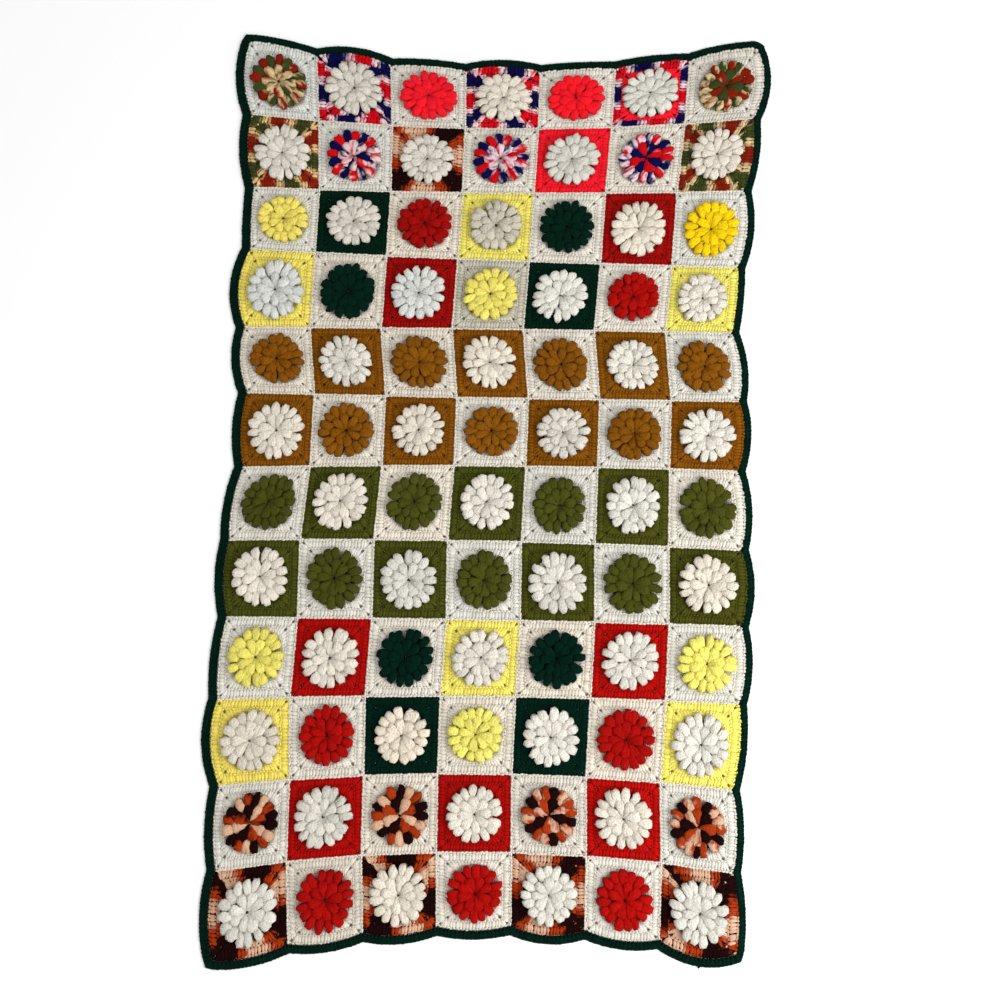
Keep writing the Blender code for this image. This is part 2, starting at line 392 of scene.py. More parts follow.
def gather(shape, sections):
    """A modelled shape as arrays, in mm, with the map of its strands. The object itself is then removed."""
    mesh = shape.data
    points = np.array([corner.co for corner in mesh.vertices]) / MM
    corners = np.array([loop.vertex_index for loop in mesh.loops])
    starts = np.array([face.loop_start for face in mesh.polygons])
    sizes = np.array([face.loop_total for face in mesh.polygons])
    outs = [section.out for section in sections]
    middles = [(section.low + section.high) / 2 for section in sections]
    middle = np.interp(points[:, 0], outs, middles)
    turn = np.arctan2(points[:, 2] - middle, points[:, 1]) / math.tau
    centres = np.array([face.center for face in mesh.polygons]) / MM
    face_middle = np.interp(centres[:, 0], outs, middles)
    face_turn = np.repeat(np.arctan2(centres[:, 2] - face_middle, centres[:, 1]) / math.tau, sizes)
    # A face that crosses the place where a turn ends and the next begins keeps its corners on one side of it
    unbroken = face_turn + (turn[corners] - face_turn + 0.5) % 1 - 0.5
    strand_map = np.column_stack((points[corners, 0], unbroken))
    bpy.data.objects.remove(shape)
    bpy.data.meshes.remove(mesh)
    return Shape(points, corners, starts, strand_map, points[:, 0].max())


# %% The two popcorns
POPCORN_SIDES = 12
POPCORN_TOP = 16.4  # mm
PRESSED = 2.1  # 1 leaves a popcorn round, and more makes it steeper and flatter
OUTER_SECTIONS = section_table(
    (0, 5.2, 1.0, 8.5),
    (5.5, 6.6, 0.3, 13.8),
    (11.0, 7.6, 0.3, 15.8),
    (15.8, 7.2, 0.4, 14.6),
    (19.6, 4.7, 1.4, 10.6),
)
INNER_SECTIONS = section_table(
    (0, 3.4, 1.6, 7.4),
    (6.0, 5.6, 0.8, 9.6),
    (10.0, 7.3, 0.3, 13.6),
    (16.2, 8.8, 0.3, 16.0),
    (21.2, 6.8, 0.8, 14.0),
)


def pull_corners(shape, section, out, outer_share=0.7):
    """Pulls both sides of the blunt end out by so many mm: the first and last of the gathered stitches."""

    def at_side_of_end(corner):
        x, y = abs(corner.co.x / MM - section.out), abs(corner.co.y / MM)
        return x < 0.01 and y > section.wide * outer_share

    select_only(shape, "verts", at_side_of_end)
    bpy.ops.transform.translate(value=(out * MM, 0, 0))
    bpy.ops.object.mode_set(mode="OBJECT")


def model_popcorn(name, sections):
    """Its neighbours press it, so in the end its sides are made steeper and its top flatter."""
    shape = draw_out(name, POPCORN_SIDES, sections)
    lift_furrows(shape, POPCORN_SIDES, sections, rise=0.6)
    pull_to_a_point(shape, end=1, out=1.9)
    pull_corners(shape, sections[-1], out=0.5)
    popcorn = gather(shape, sections)
    share = np.clip(popcorn.points[:, 2] / POPCORN_TOP, 0, 1)
    popcorn.points[:, 2] = POPCORN_TOP * (1 - (1 - share) ** PRESSED)
    return popcorn


OUTER_POPCORN = model_popcorn("outer_popcorn", OUTER_SECTIONS)
INNER_POPCORN = model_popcorn("inner_popcorn", INNER_SECTIONS)
print("Faces of a popcorn:", len(OUTER_POPCORN.starts), "Its length:", round(OUTER_POPCORN.length, 1), "mm")

# %% [markdown]
# ## One double crochet and one chain link
#
# A double crochet is a short upright post: its yarn is wound once round its middle, so it is thickest there, and
# its foot is pulled thin where it goes into the stitch below, which leaves a small dark hole beside it. On top of
# each post lies a link of chain, one teardrop overlapping the next. There are more than ten thousand of each, so
# a post has only five sides, with one of them flat on top, and a link has four. The material shows how the yarn
# winds.

# %% The post and the link
POST_SECTIONS = section_table(
    (0, 1.7, 0.6, 3.2),
    (6.0, 4.0, 0.3, 4.6),
    (12.5, 2.2, 0.8, 4.2),
)
LINK_SECTIONS = section_table(
    (2.2, 1.75, 1.7, 4.9),
    (5.6, 2.2, 1.4, 5.2),
)
FLAT_ON_TOP = math.radians(-54)  # turns a shape of five sides so that one of them is its top
POST = gather(draw_out("post", 5, POST_SECTIONS, turned=FLAT_ON_TOP), POST_SECTIONS)
link_shape = draw_out("link", 4, LINK_SECTIONS)
pull_to_a_point(link_shape, end=-1, out=2.2)
pull_to_a_point(link_shape, end=1, out=2.0)
LINK = gather(link_shape, LINK_SECTIONS)
print("Faces of a post and of a link:", len(POST.starts), len(LINK.starts))

# %% [markdown]
# ## Laying copies of a stitch
#
# Thousands of separate objects would be slow, so the copies of a stitch are laid out as one array and become one
# mesh. Each copy is drawn out from its foot to its head, a little wider, taller or leaning more than the next,
# because no two stitches come off the hook alike. The chance in that comes from one seed, so it is the same in
# each run.

# %% Copies in a pile, and a pile made one mesh
chance = np.random.default_rng(84)
UNEVEN_DYE = 0.1  # how much lighter or darker than its yarn a stitch may be
Pile = namedtuple("Pile", "shape points colours")  # copies of one shape: (copies, points, 3) in metres, and dye, with painted shade in some piles


def uneven(count, share):
    """A factor near 1 for each of several copies."""
    return 1 + share * chance.uniform(-1, 1, count)


def drawn_between(shape, feet, heads, wide=0.06, tall=0.05, lean=0.08):
    """Copies of a shape, each from its foot to its head: points in mm, with heights above the floor."""
    count = len(feet)
    run = heads - feet
    aside = np.column_stack((-run[:, 1], run[:, 0])) / np.hypot(run[:, 0], run[:, 1])[:, None]
    along = shape.points[:, 0] / shape.length
    tall_by = uneven(count, tall)[:, None]
    heights = shape.points[None, :, 2] * tall_by
    sideways = shape.points[None, :, 1] * uneven(count, wide)[:, None]
    sideways = sideways + heights * along * chance.uniform(-lean, lean, count)[:, None]
    flat = feet[:, None] + run[:, None] * along[None, :, None] + aside[:, None] * sideways[..., None]
    return np.concatenate((flat, heights[..., None]), axis=2)


def pile_in_square(column, row, shape, spots, colours):
    """Puts copies that are in a square's own mm on the blanket. Colours are one for each copy, or each point."""
    placed = lay(column, row, spots.reshape(-1, 3)).reshape(spots.shape)
    if colours.ndim == 2:
        colours = np.repeat(colours[:, None], len(shape.points), axis=1)
    brightness = uneven(len(spots), UNEVEN_DYE)[:, None, None]
    return Pile(shape, placed, colours * brightness)


def make_piece(name, piles, material):
    """One mesh of all the copies in several piles, with their strands' map and their dye and painted shade."""
    points, corners, starts, maps, colours = [], [], [], [], []
    point_count = corner_count = 0
    for pile in piles:
        copies = len(pile.points)
        first_points = point_count + np.arange(copies)[:, None] * len(pile.shape.points)
        first_corners = corner_count + np.arange(copies)[:, None] * len(pile.shape.corners)
        points.append(pile.points.reshape(-1, 3))
        corners.append((pile.shape.corners[None] + first_points).reshape(-1))
        starts.append((pile.shape.starts[None] + first_corners).reshape(-1))
        maps.append(np.tile(pile.shape.map, (copies, 1)))
        colours.append(pile.colours.reshape(-1, 3))
        point_count += copies * len(pile.shape.points)
        corner_count += copies * len(pile.shape.corners)
    mesh = bpy.data.meshes.new(name)
    mesh.vertices.add(point_count)
    mesh.vertices.foreach_set("co", np.concatenate(points).astype(np.float32).reshape(-1))
    mesh.loops.add(corner_count)
    mesh.loops.foreach_set("vertex_index", np.concatenate(corners).astype(np.int32))
    face_starts = np.concatenate(starts).astype(np.int32)
    mesh.polygons.add(len(face_starts))
    mesh.polygons.foreach_set("loop_start", face_starts)
    mesh.update(calc_edges=True)
    mesh.uv_layers.new(name="strands")
    mesh.uv_layers["strands"].uv.foreach_set("vector", np.concatenate(maps).astype(np.float32).reshape(-1))
    dye_and_painted_shade = mesh.color_attributes.new("yarn", "FLOAT_COLOR", "POINT")
    opaque = np.column_stack((np.concatenate(colours), np.ones(point_count)))
    dye_and_painted_shade.data.foreach_set("color", opaque.astype(np.float32).reshape(-1))
    mesh.shade_smooth()
    mesh.materials.append(material)
    piece = bpy.data.objects.new(name, mesh)
    bpy.context.scene.collection.objects.link(piece)
    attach(piece, "root")
    return piece


# %% [markdown]
# ## The ground of a square
#
# Between the posts the cloth is a thin web of yarn, open only where the maker left chain spaces: two slits on
# each diagonal and a small hole in the middle of the flower. The frame's ground is a grid whose lines are moved
# to the rounds of the square; each slit starts as a bevelled corner of that grid, is inset so that a rim stays
# round it, and is cut away and stretched along its diagonal. The flower's ground is a disc, inset to its hole,
# that lies just under the frame's, so the flower is round on the blanket's back too. Solidify gives both their
# thickness, and the posts and popcorns reach lower than they do, so the back shows stitches as well.

# %% Model the ground
OUTER_SLIT, INNER_SLIT = 58.5, 45.5  # mm from the middle, both ways
UNDER_FLOWER = 32  # the same: inside it the frame's ground is left out
GRID_HALF = (UNDER_FLOWER, INNER_SLIT, OUTER_SLIT, HALF - SEAM_GAP / 2)
GRID_LINES = (*(-line for line in reversed(GRID_HALF)), 0, *GRID_HALF)
SLIT_RIM, SLIT_CUT = 4.2, 0.6  # mm along each grid line: the rim round a slit, and the slit
SLIT_STRETCH = 1.0  # mm, the same way, at each end
HEART_RIM, HEART_CUT = 4.0, 1.5  # mm from the middle: the same for the flower's hole
WEB_LOW, WEB_HIGH = 2.0, 2.8  # mm: the ground of the frame and of the edging
FLOWER_LOW, FLOWER_HIGH = 1.6, 2.4
FLOWER_GROUND = 44.0  # mm from the middle: the edge of the flower's own ground
FLOWER_SIDES = 16
NEAR = 0.1  # mm


def select_near(shape, kind, spots):
    """Selects only the corners or the faces that lie at one of several spots, in mm."""

    def is_near(item):
        x, y = (item.co if kind == "verts" else item.calc_center_median()).xy / MM
        return any(abs(x - a) < NEAR and abs(y - b) < NEAR for a, b in spots)

    select_only(shape, kind, is_near)


def thicken(ground, thickness):
    """Makes a flat ground so many mm thick."""
    web = ground.modifiers.new("web", "SOLIDIFY")
    web.thickness = thickness * MM
    web.offset = 1 if ground.data.polygons[0].normal.z > 0 else -1
    bpy.ops.object.modifier_apply(modifier=web.name)


def model_frame_ground():
    """A grid with its lines on the rounds of the square, open under the flower and at the slits."""
    steps = len(GRID_LINES) - 1
    grid = {"x_subdivisions": steps, "y_subdivisions": steps, "size": SQUARE * MM}
    ground = add_alone(bpy.ops.mesh.primitive_grid_add, **grid)
    for corner in ground.data.vertices:
        for axis in (0, 1):
            line = round((corner.co[axis] / MM + HALF) / SQUARE * steps)
            corner.co[axis] = GRID_LINES[line] * MM
        corner.co.z = WEB_LOW * MM
    four_ways = [(x, y) for x in (-1, 1) for y in (-1, 1)]
    slits = [(a * x, a * y) for a in (OUTER_SLIT, INNER_SLIT) for x, y in four_ways]
    select_near(ground, "faces", [(UNDER_FLOWER / 2 * x, UNDER_FLOWER / 2 * y) for x, y in four_ways])
    bpy.ops.mesh.delete(type="FACE")
    select_near(ground, "verts", slits)
    bpy.ops.mesh.bevel(offset=SLIT_RIM * MM, affect="VERTICES")
    select_near(ground, "faces", slits)
    bpy.ops.mesh.inset(thickness=(SLIT_RIM - SLIT_CUT) / math.sqrt(2) * MM)
    bpy.ops.mesh.delete(type="FACE")
    for x, y in slits:
        away = Vector((math.copysign(1, x), math.copysign(1, y), 0)) * SLIT_STRETCH * MM
        for side in (1, -1):
            ends = [(x + side * math.copysign(SLIT_CUT, x), y), (x, y + side * math.copysign(SLIT_CUT, y))]
            select_near(ground, "verts", ends)
            bpy.ops.transform.translate(value=away * side)
    bpy.ops.object.mode_set(mode="OBJECT")
    thicken(ground, WEB_HIGH - WEB_LOW)
    return ground


def model_flower_ground():
    """A disc with a rim and a hole in its middle."""
    disc = {"vertices": FLOWER_SIDES, "radius": FLOWER_GROUND * MM, "fill_type": "NGON"}
    ground = add_alone(bpy.ops.mesh.primitive_circle_add, location=(0, 0, FLOWER_LOW * MM), **disc)
    bpy.ops.object.transform_apply(location=True, rotation=True, scale=True)
    bpy.ops.object.mode_set(mode="EDIT")
    bpy.ops.mesh.select_all(action="SELECT")
    for before, now in ((FLOWER_GROUND, HEART_RIM), (HEART_RIM, HEART_CUT)):
        bpy.ops.mesh.inset(thickness=(before - now) * math.cos(math.pi / FLOWER_SIDES) * MM)
    bpy.ops.mesh.delete(type="FACE")
    bpy.ops.object.mode_set(mode="OBJECT")
    thicken(ground, FLOWER_HIGH - FLOWER_LOW)
    return ground


def joined(first, second):
    """Two shapes as one."""
    corners = np.concatenate((first.corners, second.corners + len(first.points)))
    starts = np.concatenate((first.starts, second.starts + len(first.corners)))
    points = np.concatenate((first.points, second.points))
    return Shape(points, corners, starts, np.concatenate((first.map, second.map)), first.length)


frame_ground = gather(model_frame_ground(), (Section(0, 1, WEB_LOW, WEB_HIGH),))
flower_ground = gather(model_flower_ground(), (Section(0, 1, FLOWER_LOW, FLOWER_HIGH),))
GROUND = joined(frame_ground, flower_ground)
IN_FLOWER = np.arange(len(GROUND.points)) >= len(frame_ground.points)
print("Faces of one square's ground:", len(GROUND.starts))

# %% [markdown]
# ## The stitches of a square
#
# Round the flower the maker worked two rounds of double crochet. In the first the posts fan out from the round
# flower to a square, so they are short in the middle of each side and long at the corners. In the second they
# stand side by side. Each round is closed by its chain, and one link crosses each corner above the slit.

# %% Feet and heads of the posts and links, for one side and then for all four
FIRST_LINE = 49.5  # mm from the middle: the chain of the first round
SECOND_LINE = 62.6  # and of the second
FLOWER_EDGE = 43.5  # mm from the middle: the feet of the first round
FIRST_POSTS = np.linspace(-43.3, 43.3, 16)  # mm along one side
SECOND_POSTS = np.linspace(-56.6, 56.6, 21)
FAN = 1.08  # the feet of the first round spread a little wider than lines to the middle
LAST_FOOT = 46.5  # mm along a side: past it is the corner's slit
SLANT = 1.3  # mm that a post's head lies beside its foot, because each stitch is pulled by the next
LINK_LAP = 0.62  # a link is as long as 2 x this share of the pitch, so that it laps the next
CORNER_BACK, CORNER_OUT = 2.5, 0.5  # mm: how far before a corner its link ends, and outside the line


def quarter_turn(spots, quarters):
    """Spots turned clockwise by so many quarters."""
    for _ in range(quarters):
        spots = np.column_stack((spots[:, 1], -spots[:, 0]))
    return spots


def all_sides(feet, heads):
    """Feet and heads along one side, laid along all four."""
    feet = np.concatenate([quarter_turn(feet, side) for side in range(4)])
    heads = np.concatenate([quarter_turn(heads, side) for side in range(4)])
    return feet, heads


def first_round():
    """Feet and heads of the posts that fan out from the flower."""
    heads = np.column_stack((FIRST_POSTS, np.full(len(FIRST_POSTS), FIRST_LINE)))
    aim = heads * (FAN, 1)
    feet = aim / np.hypot(aim[:, 0], aim[:, 1])[:, None] * FLOWER_EDGE
    return all_sides(feet, heads)


def second_round():
    """Feet and heads of the posts that stand side by side."""
    heads = np.column_stack((SECOND_POSTS, np.full(len(SECOND_POSTS), SECOND_LINE)))
    feet_along = np.clip(SECOND_POSTS - SLANT, -LAST_FOOT, LAST_FOOT)
    feet = np.column_stack((feet_along, np.full(len(SECOND_POSTS), FIRST_LINE)))
    return all_sides(feet, heads)


def chain_along(posts, line):
    """Links along one round, and one across each corner."""
    pitch = posts[1] - posts[0]
    lap = pitch * LINK_LAP
    level = np.full(len(posts), line)
    feet, heads = all_sides(np.column_stack((posts - lap, level)), np.column_stack((posts + lap, level)))
    back, out = line - CORNER_BACK, line + CORNER_OUT
    corner_feet, corner_heads = all_sides(np.array([[back, out]]), np.array([[out, back]]))
    return np.concatenate((feet, corner_feet)), np.concatenate((heads, corner_heads))


ROUNDS = (
    (first_round(), chain_along(FIRST_POSTS, FIRST_LINE)),
    (second_round(), chain_along(SECOND_POSTS, SECOND_LINE)),
)
print("Posts in a square:", sum(len(posts[0]) for posts, links in ROUNDS))

# %% Work the frame of one square
SKEIN = 1000  # mm: a square is begun anywhere along so much yarn
LOT_SPREAD = 0.03
POST_YARN = (55, 42)  # mm of yarn in a post of the first round, which is longer, and of the second
ROUND_DRIFT = 60  # mm: both rounds take about as much yarn, so a dyed yarn's colours almost meet again
FRAME_STRAY = 20  # mm: the loops of a stitch cross, so each spot shows yarn from a little before or after
SHAKE, HEAD_SHAKE = 0.65, 0.5  # mm that a foot strays from its even place, and its head's share of that
OUTER_STRETCH = 3.5  # mm: along the top and the right side the squares' last chain lies over the edging's feet
STRETCH_FROM, STRETCH_OVER = 58, 5  # mm: where that begins, and over how much it grows


def dye_lot():
    """A factor for each of red, green and blue: the yarn comes in lots that are a little warmer or cooler."""
    warm = chance.normal(0, LOT_SPREAD)
    return (1 + chance.normal(0, LOT_SPREAD)) * np.array((1 + warm, 1, 1 - warm))


def frame_piles(column, row, frame_yarn):
    """The posts and chains of a square's two rounds of double crochet."""
    piles = []
    start = chance.uniform(0, SKEIN)
    lot = dye_lot()
    for number, (posts, links) in enumerate(ROUNDS):
        letter = FIRST_FRAME_ROUND.get((column, row), frame_yarn) if number == 0 else frame_yarn
        start += chance.normal(0, ROUND_DRIFT)
        for shape, (feet, heads) in ((POST, posts), (LINK, links)):
            shake = chance.normal(0, SHAKE, feet.shape)
            shaken_heads = heads + shake * HEAD_SHAKE
            spots = drawn_between(shape, feet + shake, shaken_heads, wide=0.1, tall=0.1, lean=0.15)
            for axis, at_side in ((0, column == COLUMNS - 1), (1, row == 0)):
                share = np.clip((spots[..., axis] - STRETCH_FROM) / STRETCH_OVER, 0, 1)
                spots[..., axis] += OUTER_STRETCH * at_side * share
            places = start + POST_YARN[number] * np.arange(len(feet))[:, None]
            stray = chance.normal(0, FRAME_STRAY, (len(feet), len(shape.points)))
            piles.append(pile_in_square(column, row, shape, spots, dyed(letter, places + stray) * lot))
    return piles


# %% [markdown]
# ## The flower of a square
#
# The maker works eight popcorns into the middle and sixteen round them, every second one behind an inner one. No
# two come out alike, so each has a turn of its own, and chance moves and sizes it a little. A popcorn takes so
# much yarn that one of a dyed yarn often shows two of its colours.

# %% Work the flower of one square
Round = namedtuple("Round", "shape count foot head")  # foot and head are mm from the middle
INNER_ROUND = Round(INNER_POPCORN, 8, 2.8, 31.0)
OUTER_ROUND = Round(OUTER_POPCORN, 16, (27.5, 24.0), 49.8)  # a foot is behind an inner popcorn, or between two
SIZE_SPREAD = 0.02
OFF_MIDDLE = 1.2  # mm
TURN_STEP = 0.618  # of the way between inner popcorns, from one flower to the next
ANGLE_SPREAD = 0.03  # radians
SWAY = 1.0  # mm that a popcorn's tip strays, sideways and outwards
LUMPS = 0.9  # mm, how far the hand leaves each part of a popcorn from its even shape
LOWEST, HIGHEST = 0.3, 16.8  # mm
POPCORN_YARN_LENGTH = 337
YARN_IN_SIGHT = 0.36  # of a popcorn's yarn, since its first and last stitches lie at its sides
FLOWER_STRAY = 28  # mm: more than in the frame, since five stitches are gathered
FURROW_SHADE = 0.72  # painted shade: this share of the yarn's own colour, deep in the furrows
FURROW_HEIGHTS = (8.5, 14.5)  # mm: below the first the painted shade in the furrows is full, above the second there is none


def popcorn_pile(column, row, letter, popcorns, used, size, middle, lot):
    """One round of popcorns. The colour is asked for point by point, since a popcorn takes so much yarn; low
    points get painted shade.
    """
    shape, count, foot, head = popcorns
    turn = (TURN_STEP * (column + COLUMNS * row)) % 1 * math.tau / INNER_ROUND.count
    angles = turn + math.tau * np.arange(count) / count + chance.normal(0, ANGLE_SPREAD, count)
    outwards = np.column_stack((np.cos(angles), np.sin(angles)))
    sway = np.column_stack((-outwards[:, 1], outwards[:, 0])) * chance.normal(0, SWAY, count)[:, None]
    reach = head * size + chance.normal(0, SWAY, count)[:, None]
    feet = outwards * np.resize(foot, count)[:, None]
    spots = drawn_between(shape, feet, outwards * reach + sway, wide=0.12, tall=0.06, lean=0.12)
    spots += chance.normal(0, LUMPS, spots.shape)
    spots[..., :2] += middle
    spots[..., 2] = np.clip(spots[..., 2], LOWEST, HIGHEST)
    across = 0.5 + YARN_IN_SIGHT * shape.points[:, 1] / np.ptp(shape.points[:, 1])
    places = used + POPCORN_YARN_LENGTH * (np.arange(count)[:, None] + across[None])
    stray = chance.normal(0, FLOWER_STRAY, places.shape)
    # Painted shade: points low in the furrows between the popcorns are darker
    painted_furrow_shade = np.interp(spots[..., 2:], FURROW_HEIGHTS, (FURROW_SHADE, 1))
    return pile_in_square(column, row, shape, spots, dyed(letter, places + stray) * lot * painted_furrow_shade)


def flower_piles(column, row, letter):
    """The inner and the outer round of a flower, a little larger or smaller and off its middle."""
    used = chance.uniform(0, SKEIN)
    lot = dye_lot()
    size = chance.normal(1, SIZE_SPREAD)
    middle = chance.normal(0, OFF_MIDDLE, 2)
    piles = []
    for popcorns in (INNER_ROUND, OUTER_ROUND):
        piles.append(popcorn_pile(column, row, letter, popcorns, used, size, middle, lot))
        used += popcorns.count * POPCORN_YARN_LENGTH
    return piles


# %% Colour the ground with its yarns and painted shade, and work all twelve rows
FRAME_SHADE = 0.75  # painted shade: this share of the yarn's own colour, deep between the posts
FLOWER_SHADE = 0.95  # painted shade between the popcorns, only slight, where the yarn shines back from both sides
SLIT_SHADE, SLIT_DARK = 0.03, 0.8 * SLIT_RIM  # painted shadow at each slit, out to so many mm round it
HEART_SHADE, HEART_DARK = 0.4, 0.7 * HEART_RIM  # painted shadow round the hole in the flower's middle, out to so many mm


def ground_pile(column, row, frame_yarn, flower_yarn):
    """The ground has the flower's yarn under the flower and the frame's round it, with painted shade between the
    stitches.
    """
    across, up = np.abs(GROUND.points[:, :2]).T
    from_slits = [np.hypot(across - place, up - place) for place in (OUTER_SLIT, INNER_SLIT)]
    slit = np.min(from_slits, axis=0) < SLIT_DARK
    heart = np.hypot(across, up) < HEART_DARK
    # Painted shade between the stitches, and painted shadow at the slits and round the heart
    flower_ground_with_painted_shade = darkest(flower_yarn) * np.where(heart, HEART_SHADE, FLOWER_SHADE)[:, None]
    frame_ground_with_painted_shade = darkest(frame_yarn) * np.where(slit, SLIT_SHADE, FRAME_SHADE)[:, None]
    colours = np.where(IN_FLOWER[:, None], flower_ground_with_painted_shade, frame_ground_with_painted_shade)
    return pile_in_square(column, row, GROUND, GROUND.points[None], colours[None])


for row in range(ROWS):
    number = f"{row + 1:02d}"
    grounds, frames, flowers = [], [], []
    for column, (frame_yarn, flower_yarn) in enumerate(chart[row]):
        grounds.append(ground_pile(column, row, frame_yarn, flower_yarn))
        frames += frame_piles(column, row, frame_yarn)
        flowers += flower_piles(column, row, flower_yarn)
    stitches = make_piece(f"stitches_{number}", frames, STITCH_YARN)
    popcorns = make_piece(f"popcorns_{number}", flowers, POPCORN_YARN)
    cloth = make_piece(f"cloth_{number}", grounds, GROUND_YARN)
    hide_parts(f"strip_{number}")
    print("Row", number, "has", len(stitches.data.polygons), "faces of stitches")

# %% [markdown]
# ## Joining the squares
#
# The squares are joined on the right side with white slip stitches, a chain that lies over every seam as a thin
# raised line. It is the link again, now in white and a little longer, along each seam down and each seam across.

# %% Lay the joining chains
JOINING_PITCH = 6.9  # mm of seam for one slip stitch
JOINING_LAP = 0.68  # as LINK_LAP
JOINING_RISE = 0.7  # mm: the chain lies on top of both squares' own chains
JOINING_SHAKE = 0.3  # mm
JOINING_LINK = LINK._replace(points=LINK.points * (1, 0.95, 1))  # pulled tighter than the squares' chains


def joining_pile(column, row, start, end):
    """Slip stitches along one side of a square, from one spot of it to another."""
    count = round(SQUARE / JOINING_PITCH)
    steps = (np.arange(count) + 0.5)[:, None] / count
    reach = (end - start) / count * JOINING_LAP
    middles = start + (end - start) * steps + chance.normal(0, JOINING_SHAKE, (count, 2))
    spots = drawn_between(JOINING_LINK, middles - reach, middles + reach, wide=0.12)
    spots[..., 2] += JOINING_RISE
    colours = np.tile(dyed("W", 0), (count, 1))
    return pile_in_square(column, row, JOINING_LINK, spots, colours)


low_left, low_right, high_right = np.array(((-HALF, -HALF), (HALF, -HALF), (HALF, HALF)))
joins = []
for row in range(ROWS):
    for column in range(COLUMNS):
        if column < COLUMNS - 1:
            joins.append(joining_pile(column, row, low_right, high_right))
        if row < ROWS - 1:
            joins.append(joining_pile(column, row, low_left, low_right))
make_piece("joining", joins, STITCH_YARN)
print("Slip stitches in the seams:", sum(len(pile.points) for pile in joins))

# %% [markdown]
# ## The edging
#
# Round the whole blanket goes a dark green band: posts worked outwards into the edge of every outer square, so
# their feet make small teeth on it, and a chain along the rim. The band follows the swell of every square. A
# circle with as many points as the outline has is a quick way to a closed line: its points are laid on the
# outline, drawn outwards as a thin web, and the posts and links are stitched over that.

# %% The line round all the squares
SIDE_STEPS = 24  # points of the outline along one side of a square
EDGING_PITCH = 6.8  # mm of outline for one post
SHARPEST = 0.95  # cosine of half a turn: at sharper ones the band gets no wider


def outline():
    """The line round all the squares, anticlockwise from the lower left corner, in mm."""
    steps = np.linspace(-HALF, HALF, SIDE_STEPS, endpoint=False)
    bottom = np.column_stack((steps, np.full(SIDE_STEPS, -HALF)))
    left, top, right = (quarter_turn(bottom, quarters) for quarters in (1, 2, 3))
    sides = [(column, ROWS - 1, bottom) for column in range(COLUMNS)]
    sides += [(COLUMNS - 1, row, right) for row in reversed(range(ROWS))]
    sides += [(column, 0, top) for column in reversed(range(COLUMNS))]
    sides += [(0, row, left) for row in range(ROWS)]
    flat = np.zeros(SIDE_STEPS)
    parts = [lay(column, row, np.column_stack((side, flat))) for column, row, side in sides]
    return np.concatenate(parts)[:, :2] / MM


def outwards(line):
    """The way out of a closed anticlockwise line at each of its points, and longer at its corners."""
    before = line - np.roll(line, 1, axis=0)
    before /= np.hypot(before[:, 0], before[:, 1])[:, None]
    after = np.roll(before, -1, axis=0)
    run = before + after
    run /= np.hypot(run[:, 0], run[:, 1])[:, None]
    reach = 1 / np.maximum((run * before).sum(axis=1), SHARPEST)
    return np.column_stack((run[:, 1], -run[:, 0])) * reach[:, None]


def spaced(line, pitch):
    """Points a pitch apart along a closed line."""
    closed = np.concatenate((line, line[:1]))
    lengths = np.hypot(*np.diff(closed, axis=0).T)
    reached = np.concatenate(((0,), np.cumsum(lengths)))
    count = round(reached[-1] / pitch)
    stops = np.arange(count) * reached[-1] / count
    return np.column_stack([np.interp(stops, reached, closed[:, axis]) for axis in (0, 1)])


edge_line = outline()
edge_spots = spaced(edge_line, EDGING_PITCH)
print("The outline is", round(len(edge_spots) * EDGING_PITCH / 1000, 2), "m long")

# %% The web under the edging
EDGING_WEB = (0.4, 13.2)  # mm outside the squares: its two edges


def lay_ring(corners, reach):
    """Lays a ring of corners so many mm outside the outline."""
    for corner, place, way in zip(corners, edge_line, outwards(edge_line)):
        corner.co = (*(place + way * reach) * MM, WEB_LOW * MM)


def edit_all(step, **settings):
    """Does one step of edit mode to the whole of the active mesh."""
    bpy.ops.object.mode_set(mode="EDIT")
    bpy.ops.mesh.select_all(action="SELECT")
    step(**settings)
    bpy.ops.object.mode_set(mode="OBJECT")


edging = add_alone(bpy.ops.mesh.primitive_circle_add, vertices=len(edge_line), radius=1)
edging.name = "edging_web"
edging.data.name = "edging_web"
lay_ring(edging.data.vertices, EDGING_WEB[0])
edit_all(bpy.ops.mesh.extrude_edges_move)
lay_ring(list(edging.data.vertices)[len(edge_line) :], EDGING_WEB[1])
edit_all(bpy.ops.mesh.normals_make_consistent, inside=False)
thicken(edging, WEB_HIGH - WEB_LOW)
edging_dye = edging.data.color_attributes.new("yarn", "FLOAT_COLOR", "POINT")
for point in edging_dye.data:
    point.color = (*linear(EDGING_COLOUR), 1)
edging.data.materials.append(GROUND_YARN)
print("Heights of the edging's web:", {round(corner.co.z / MM, 2) for corner in edging.data.vertices})

# %% Posts, teeth and the rim chain of the edging
EDGING_POST = POST._replace(points=POST.points * (1, 1.35, 0.7))  # worked close, so each post laps the next
EDGING_LINK = LINK._replace(points=LINK.points * (1, 1, 0.8))
EDGING_FOOT, EDGING_HEAD, EDGING_RISE = 0.4, 13.6, 0.6  # mm outside the squares, and up
TOOTH_REACH = (2.0, -2.6)  # mm into the squares: along the bottom and the left side, and along the other two
TOOTH_HEAD = 6
TOOTH_RISE = 1.7  # mm: the foot of a post comes up over the squares' own chain
RIM = 13.4  # mm outside the squares
RIM_BACK, RIM_ON = 0.35, 3.4  # shares: of the pitch before a link's place, and of that after it
UNEVEN_GREEN = 0.25  # as UNEVEN_DYE
END_PLACE = (357, -838)  # mm: the yarn's end is left there as a short stub
END_FOOT, END_LENGTH = 3, 5.5  # mm inside the rim and outside it
edge_ways = outwards(edge_spots)


